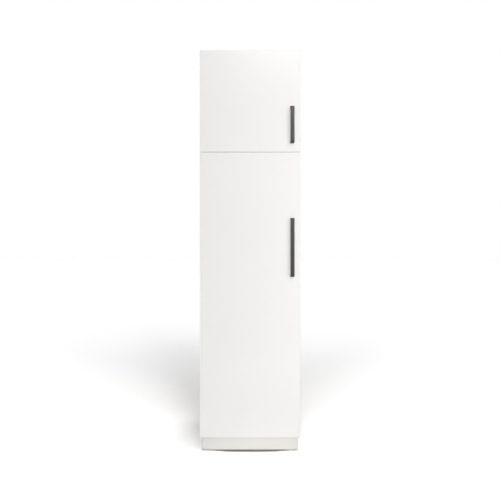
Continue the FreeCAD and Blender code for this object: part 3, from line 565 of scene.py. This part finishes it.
# %% Plastics
PLASTIC_CLOUDS = 300.0
PLASTIC_IOR = 1.46
RIPPLES = 1100.0
RIPPLE_DEPTH = 0.02 * MM
PLASTICS = {
    "soft_dot": {"dark": (0.80, 0.80, 0.79, 1), "pale": (0.88, 0.88, 0.87, 1),
                 "roughness": (0.28, 0.42), "clear": 0.5},
    "glide_black": {"dark": (0.035, 0.035, 0.036, 1), "pale": (0.060, 0.060, 0.060, 1),
                    "roughness": (0.38, 0.55), "clear": 0.0},
}


def moulded_finish(name, dark, pale, roughness, clear):
    """Moulded plastic: a cloudy colour, uneven gloss and a faint ripple; clear lets light through."""
    material, tree = new_tree(name)
    place = object_place(tree)
    cloud = spread(tree, noise(tree, place, PLASTIC_CLOUDS, detail=3.0))
    ripple = noise(tree, place, RIPPLES, detail=2.0)
    surface(tree, Base_Color=blend(tree, cloud, dark, pale), IOR=PLASTIC_IOR,
            Roughness=spread(tree, ripple, *roughness), Transmission_Weight=clear,
            Normal=relief(tree, ripple, RIPPLE_DEPTH))
    return material


SOFT_DOT, GLIDE_BLACK = (moulded_finish(name, **look) for name, look in PLASTICS.items())
print(len(PLASTICS), "plastics made")

# %% [markdown]
# Every node that stays as CAD made it takes a finish through its material slot, by the record's slot names.

# %% Dress the CAD nodes
BY_SLOT = {"zinc": DIE_CAST, "bright_steel": ZINC_PLATE, "hinge_nickel": NICKEL, "handle_dark": POWDER_COAT,
           "soft_dot": SOFT_DOT, "glide_plastic": GLIDE_BLACK}
for row in frame["record"]["subparts"]:
    mesh = frame["nodes"][row["node"]].data
    mesh.materials.clear()
    mesh.materials.append(FINISHES.get(row["node"]) or BY_SLOT[row["material_slot"]])

# %% [markdown]
# New pieces are skins over rings of points, as a lathe or a bending jig would leave them.
# Points in a ring run round the piece, rings follow each other along it, and every skin is closed at both
# ends. numpy works out all the points of all copies at once, so a row of screws costs one line, not a loop.

# %% Skins
SHARP_FROM = 32.0           # degrees between two faces, above which their edge stays hard


def skin(rings):
    """
    Points and faces of closed skins. rings has the shape (copies, rows, columns, 3). Quads join each ring to
    the next, going round, and a fan from the middle of the first and of the last ring closes the two ends.
    """
    copies, rows, columns, _ = rings.shape
    middles = rings[:, [0, -1]].mean(axis=2)
    points = np.concatenate([rings.reshape(copies, rows * columns, 3), middles], axis=1)
    row, column = np.meshgrid(np.arange(rows - 1) * columns, np.arange(columns), indexing="ij")
    after = (column + 1) % columns
    quads = np.stack([row + column, row + after, row + columns + after, row + columns + column], axis=-1)
    start, end = rows * columns, rows * columns + 1
    round_it, last = np.arange(columns), (rows - 1) * columns
    onward = (round_it + 1) % columns
    fans = np.stack([np.stack([np.full(columns, start), onward, round_it], axis=-1),
                     np.stack([np.full(columns, end), last + round_it, last + onward], axis=-1)])
    shift = np.arange(copies)[:, None, None] * (rows * columns + 2)
    faces = (quads.reshape(1, -1, 4) + shift).reshape(-1, 4).tolist()
    faces += (fans.reshape(1, -1, 3) + shift).reshape(-1, 3).tolist()
    return points.reshape(-1, 3), faces


def add_piece(name, rings, body, node, finish):
    """Makes the skins one mesh at the origin, faces outwards, that rides a body and stands for a node."""
    points, faces = skin(rings)
    mesh = bpy.data.meshes.new(name)
    mesh.from_pydata(points.tolist(), [], faces)
    shell = bmesh.new()
    shell.from_mesh(mesh)
    bmesh.ops.recalc_face_normals(shell, faces=shell.faces)
    shell.to_mesh(mesh)
    shell.free()
    mesh.shade_smooth()
    mesh.set_sharp_from_angle(angle=radians(SHARP_FROM))
    mesh.materials.append(finish)
    piece = bpy.data.objects.new(name, mesh)
    SCENE.collection.objects.link(piece)
    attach(piece, body)
    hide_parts(node)
    print(name, "has", len(rings), "skins and", len(faces), "faces")
    return mesh


# %% [markdown]
# Each handle is one flat steel bar, bent twice to a bridge and screwed on from inside the door.
# A cube with bevels would look close, but the bends would not keep the bar's thickness as a real bend does.
# So the bar's rounded section is carried along its middle line: out from the door, round, along, round, back.

# %% Handles
BAR_THICKNESS = 8.0 * MM
BAR_BEND = 7.0 * MM         # middle line of a bend
BAR_CORNER = 1.8 * MM
BEND_STEPS = 13
CORNER_STEPS = 7


def bar_section(width, thickness, radius):
    """
    Outline of the bar: four quarter circles about the corners' centres. A third list is 1 in the middle of
    each rounding and falls to 0 beside the flats.
    """
    turn = np.linspace(0, pi / 2, CORNER_STEPS)
    angle = np.arange(4)[:, None] * pi / 2 + turn
    across = np.array([1, -1, -1, 1])[:, None] * (width / 2 - radius) + radius * np.cos(angle)
    through = np.array([1, 1, -1, -1])[:, None] * (thickness / 2 - radius) + radius * np.sin(angle)
    corner = np.broadcast_to(np.sin(2 * turn), angle.shape)
    return across.ravel(), through.ravel(), corner.ravel()


def bridge_line(length, projection, thickness, bend):
    """Middle line as (out, along) and the direction, an angle, of the bridge's outer side at each point."""
    reach, half = projection - thickness / 2, thickness / 2
    first = np.linspace(-pi / 2, 0, BEND_STEPS)
    second = np.linspace(0, pi / 2, BEND_STEPS)
    bends = [reach - bend + bend * np.cos(turn) for turn in (first, second)]
    out = np.concatenate([[0], *bends, [0]])
    along = np.concatenate([[half], half + bend + bend * np.sin(first),
                            length - half - bend + bend * np.sin(second), [length - half]])
    return out, along, np.concatenate([[-pi / 2], first, second, [pi / 2]])


for leaf in LEAVES:
    lowest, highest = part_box(f"{leaf}_handle")
    across, through, corner = bar_section(highest[0] - lowest[0], BAR_THICKNESS, BAR_CORNER)
    out, along, side = bridge_line(highest[2] - lowest[2], highest[1] - lowest[1], BAR_THICKNESS, BAR_BEND)
    x = np.broadcast_to((lowest[0] + highest[0]) / 2 + across, (len(out), len(across)))
    y = highest[1] - out[:, None] - np.cos(side)[:, None] * through
    z = lowest[2] + along[:, None] + np.sin(side)[:, None] * through
    mesh = add_piece(f"{leaf}_bridge_handle", np.stack([x, y, z], axis=-1)[None], f"{leaf}_leaf",
                     f"{leaf}_handle", POWDER_COAT)
    wear = np.concatenate([np.tile(corner, len(out)), [0, 0]])
    mesh.attributes.new("corner", "FLOAT", "POINT").data.foreach_set("value", wear.astype(np.float32))

# %% [markdown]
# Three lamps would leave three shades beside each bar and a deep one on the plinth, under the door's lower
# edge. A studio has one large soft source there instead. Shadow linking comes near it: two of the three pass
# the bars, the lower door and the panel behind its edge, and only the key lamp is still shaded by them.

# %% Soft shades
PASSING_LAMPS = ("back_lamp", "fill_lamp")
PASSED = [bpy.data.objects[f"{leaf}_bridge_handle"] for leaf in LEAVES]
PASSED += [frame["nodes"][name] for name in ("lower_door", "bottom_panel")]
passed_group = bpy.data.collections.new("passed_by_two_lamps")
for thing in PASSED:
    passed_group.objects.link(thing)
for link in passed_group.collection_objects:
    link.light_linking.link_state = "EXCLUDE"
for lamp_name in PASSING_LAMPS:
    bpy.data.objects[lamp_name].light_linking.blocker_collection = passed_group
print(len(PASSED), "things let", len(PASSING_LAMPS), "lamps pass")

# %% [markdown]
# Screws are turned on a lathe and their heads are punched with a cross, so a driver can bite.
# A boolean cut would leave slivers. Instead the rings start as a small cross at the bottom of the recess,
# open to the full cross at the rim, and then grow to circles over the pan of the head and down the shank.

# %% Screws
CROSS_WIDTH = 0.30          # arm of the cross, as a share of the head's radius
CROSS_REACH = 0.58
CROSS_FLOOR = 0.62          # size of the recess at its bottom against its mouth
CROSS_DEPTH = 0.72          # of the head's height
PAN_STEPS = 6
PAN_START = 0.75            # angle whose sine is the lathe's first share of the head's radius
TIP_START = 0.9             # of the shank's length
TIP_WIDTH = 0.55            # of the shank's radius
TINY = 1e-9                 # keeps a division away from 0
GOLDEN_TURN = 2.399963      # each next screw stops at another angle


def cross_columns():
    """Angles that meet every corner of the cross and its arms' middles, with two more in each quarter."""
    tip = np.arctan2(CROSS_WIDTH / 2, CROSS_REACH)
    halfway = tip + (pi / 4 - tip) / 2
    eighth = np.array([0, tip, halfway, pi / 4])
    quarter = np.concatenate([eighth, pi / 2 - eighth[-2:0:-1]])
    return (np.arange(4)[:, None] * pi / 2 + quarter).ravel()


def cross_outline(angle):
    """Distance to the cross's edge: the farther of its two arms, each the nearer of its end and its side."""
    run, rise = np.abs(np.cos(angle)) + TINY, np.abs(np.sin(angle)) + TINY
    level = np.minimum(CROSS_REACH / run, CROSS_WIDTH / 2 / rise)
    upright = np.minimum(CROSS_REACH / rise, CROSS_WIDTH / 2 / run)
    return np.maximum(level, upright)


def screw_rings(head_radius, head_height, shank_radius, shank_length):
    """
    Rings of one screw about +Z with its seat at 0. The pan is the curve (r/R)^4 + (h/H)^2 = 1. Its first ring
    is the cross, and later rings blend from the cross to the circle. Returns (rows, columns, 3).
    """
    angle = cross_columns()
    mouth = cross_outline(angle) * head_radius
    blend_in = np.linspace(0, 1, PAN_STEPS)[:, None]
    lathe = head_radius * np.sin(np.linspace(PAN_START, pi / 2, PAN_STEPS))[:, None]
    pan_radius = mouth * (1 - blend_in) + lathe * blend_in
    pan_height = head_height * np.sqrt(np.clip(1 - (pan_radius / head_radius) ** 4, 0, 1))
    pit_radius = mouth[None] * CROSS_FLOOR
    pit_height = np.full_like(pit_radius, head_height * (1 - CROSS_DEPTH))
    shank_radii = np.array([shank_radius, shank_radius, shank_radius * TIP_WIDTH])[:, None] + 0 * angle
    shank_heights = -np.array([0, TIP_START, 1.0])[:, None] * shank_length + 0 * angle
    radius = np.concatenate([pit_radius, pan_radius, shank_radii])
    height = np.concatenate([pit_height, pan_height, shank_heights])
    return np.stack([radius * np.cos(angle), radius * np.sin(angle), height], axis=-1)


def set_out(rings, seats, axis):
    """Copies rings to seats, with +Z laid along an axis and every copy turned by one more golden turn."""
    axis = np.array(axis, float)
    side = np.roll(np.abs(axis), 1)
    other = np.cross(axis, side)
    turn = np.arange(len(seats)) * GOLDEN_TURN
    level = np.cos(turn)[:, None] * side + np.sin(turn)[:, None] * other
    upright = -np.sin(turn)[:, None] * side + np.cos(turn)[:, None] * other
    return (np.array(seats)[:, None, None] + rings[None, ..., :1] * level[:, None, None]
            + rings[None, ..., 1:2] * upright[:, None, None] + rings[None, ..., 2:] * axis)


print("a screw has", len(cross_columns()), "points in each ring")

# %% [markdown]
# The frame says which box each set of screws fills, and the pitches are the trade's usual ones.
# Boxes and pitches together give every seat, so no place has to be written down by hand.

# %% Where the screws sit
HINGE_FROM_END = 100.0 * MM
HINGE_COUNT = {"upper": 2, "lower": 3}
PLATE_SCREW_PITCH = 32.0 * MM
CUP_SCREW_PITCH = 48.0 * MM
SCREWS = {                  # head radius, head height, shank radius
    "plate_screws": (4.0 * MM, 2.0 * MM, 2.4 * MM),
    "arm_screws": (3.4 * MM, 1.6 * MM, 2.4 * MM),
    "cup_screws": (3.2 * MM, 1.2 * MM, 1.75 * MM),
    "handle_screws": (4.0 * MM, 2.2 * MM, 2.0 * MM),
    "wall_bracket_screws": (3.8 * MM, 2.0 * MM, 2.0 * MM),
}


def fit_screws(node, kind, body, axis, first, second):
    """
    Screws in a node's box: heads at the box's end along the axis, at every pair of the two other places,
    which are given in the order of their axes.
    """
    head_radius, head_height, shank_radius = SCREWS[kind]
    lowest, highest = (np.array(corner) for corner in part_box(node))
    along = int(np.argmax(np.abs(axis)))
    seat = highest[along] - head_height if axis[along] > 0 else lowest[along] + head_height
    shank = highest[along] - lowest[along] - head_height
    places = np.stack(np.meshgrid(first, second, indexing="ij"), axis=-1).reshape(-1, 2)
    seats = np.insert(places, along, seat, axis=1)
    rings = set_out(screw_rings(head_radius, head_height, shank_radius, shank), seats, axis)
    add_piece(node.replace("screws", "cross_screws"), rings, body, node, ZINC_PLATE)


def box_ends(node, axis, inset):
    """The two places on an axis that lie an inset inside a node's box."""
    lowest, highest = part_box(node)
    return np.array([lowest[axis] + inset, highest[axis] - inset])


def box_middle(node, axis):
    """The one place on an axis in the middle of a node's box."""
    return box_ends(node, axis, 0).mean(keepdims=True)


def pairs_about(heights, pitch):
    """Two places, half a pitch below and above each height."""
    return (heights[:, None] + np.array([-0.5, 0.5]) * pitch).ravel()


for leaf, count in HINGE_COUNT.items():
    hinges = np.linspace(*box_ends(f"{leaf}_door", 2, HINGE_FROM_END), count)
    plate, arm, cup, handle = (f"{leaf}_{piece}_screws" for piece in ("plate", "arm", "cup", "handle"))
    fit_screws(plate, "plate_screws", "carcass", (1, 0, 0), box_middle(plate, 1),
               pairs_about(hinges, PLATE_SCREW_PITCH))
    fit_screws(arm, "arm_screws", "carcass", (1, 0, 0), box_ends(arm, 1, SCREWS["arm_screws"][0]), hinges)
    fit_screws(cup, "cup_screws", f"{leaf}_leaf", (0, 1, 0), box_middle(cup, 0),
               pairs_about(hinges, CUP_SCREW_PITCH))
    fit_screws(handle, "handle_screws", f"{leaf}_leaf", (0, 1, 0), box_middle(handle, 0),
               box_ends(handle, 2, SCREWS["handle_screws"][0]))

bracket = "wall_bracket_screws"
fit_screws(bracket, bracket, "carcass", (0, 0, -1), box_ends(bracket, 0, SCREWS[bracket][0]),
           box_middle(bracket, 1))

# %% [markdown]
# Buffers are drops of soft plastic stuck inside the free edge of each door, so that it shuts without a knock.
# Glides are hard buttons nailed under the plinth, which keep the board off a damp floor.
# Both are lathe shapes: half an ellipse or a rounded foot turned about its axis.

# %% Buffers and glides
BUFFER_RADIUS = 4.0 * MM
BUFFER_ROUNDNESS = 2.4      # 2 is half an ellipse, more is squarer
GLIDE_RADIUS = 8.0 * MM
GLIDE_ROUNDNESS = 4.0
LATHE_COLUMNS = 32
DOME_STEPS = 9
CROWN = 0.08                # angle from the axis to the first ring
SEAT_WIDTH = 0.97           # of the radius, where the button meets its seat


def button_rings(radius, height, roundness):
    """Button about +Z on its seat: the curve (r/R)^n + (h/H)^n = 1, with n the roundness, turned round."""
    angle = np.linspace(0, 2 * pi, LATHE_COLUMNS, endpoint=False)
    sweep = np.linspace(pi / 2 - CROWN, 0, DOME_STEPS)
    dome_radius = np.concatenate([radius * np.cos(sweep) ** (2 / roundness), [radius * SEAT_WIDTH]])[:, None]
    dome_height = np.concatenate([height * np.sin(sweep) ** (2 / roundness), [0]])[:, None] + 0 * angle
    return np.stack([dome_radius * np.cos(angle), dome_radius * np.sin(angle), dome_height], axis=-1)


for leaf in LEAVES:
    node = f"{leaf}_door_buffers"
    lowest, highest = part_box(node)
    seats = [((lowest[0] + highest[0]) / 2, lowest[1], z) for z in box_ends(node, 2, BUFFER_RADIUS)]
    rings = button_rings(BUFFER_RADIUS, highest[1] - lowest[1], BUFFER_ROUNDNESS)
    add_piece(f"{leaf}_buffer_drops", set_out(rings, seats, (0, 1, 0)), f"{leaf}_leaf", node,
              SOFT_DOT)

lowest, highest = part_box("plinth_glides")
seats = [(x, y, highest[2]) for x in box_ends("plinth_glides", 0, GLIDE_RADIUS)
         for y in box_ends("plinth_glides", 1, GLIDE_RADIUS)]
rings = button_rings(GLIDE_RADIUS, highest[2] - lowest[2], GLIDE_ROUNDNESS)
add_piece("plinth_glide_buttons", set_out(rings, seats, (0, 0, -1)), "carcass",
          "plinth_glides", GLIDE_BLACK)
